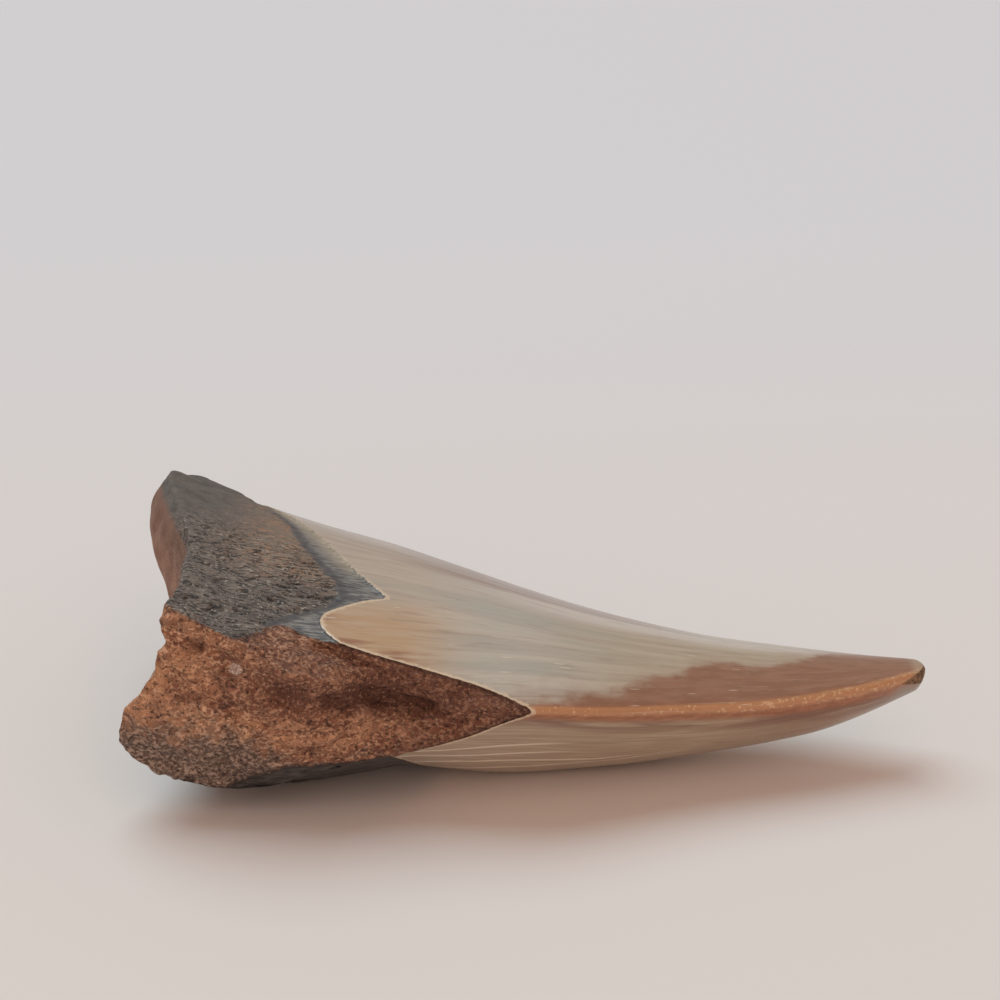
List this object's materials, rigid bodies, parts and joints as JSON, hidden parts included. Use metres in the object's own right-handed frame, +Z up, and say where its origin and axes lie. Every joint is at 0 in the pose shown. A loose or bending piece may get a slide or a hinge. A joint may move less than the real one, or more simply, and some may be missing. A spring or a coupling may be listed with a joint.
{
  "type": "fossil megalodon tooth",
  "caption": "Polished fossil shark tooth lying on its curved face: pointed enamel crown, dark chevron band, thick root, one shoulder broken away to rough brown dentine.",
  "frame": {"origin": "on the surface the tooth rests on, under the middle of its outer box", "axes": "+X along the tooth from root to tip, +Y towards its whole side, away from the broken shoulder, +Z up, out of the flatter lip-side face"},
  "size_m": [0.1108, 0.0662, 0.0303],
  "materials": {
    "fossil_tooth": "olive grey and orange brown polished enamel, blue-grey band, matt dark grey root and rough red-brown broken dentine"
  },
  "bodies": {
    "root": {"megalodon_tooth": "fossil_tooth"}
  },
  "joints": []
}
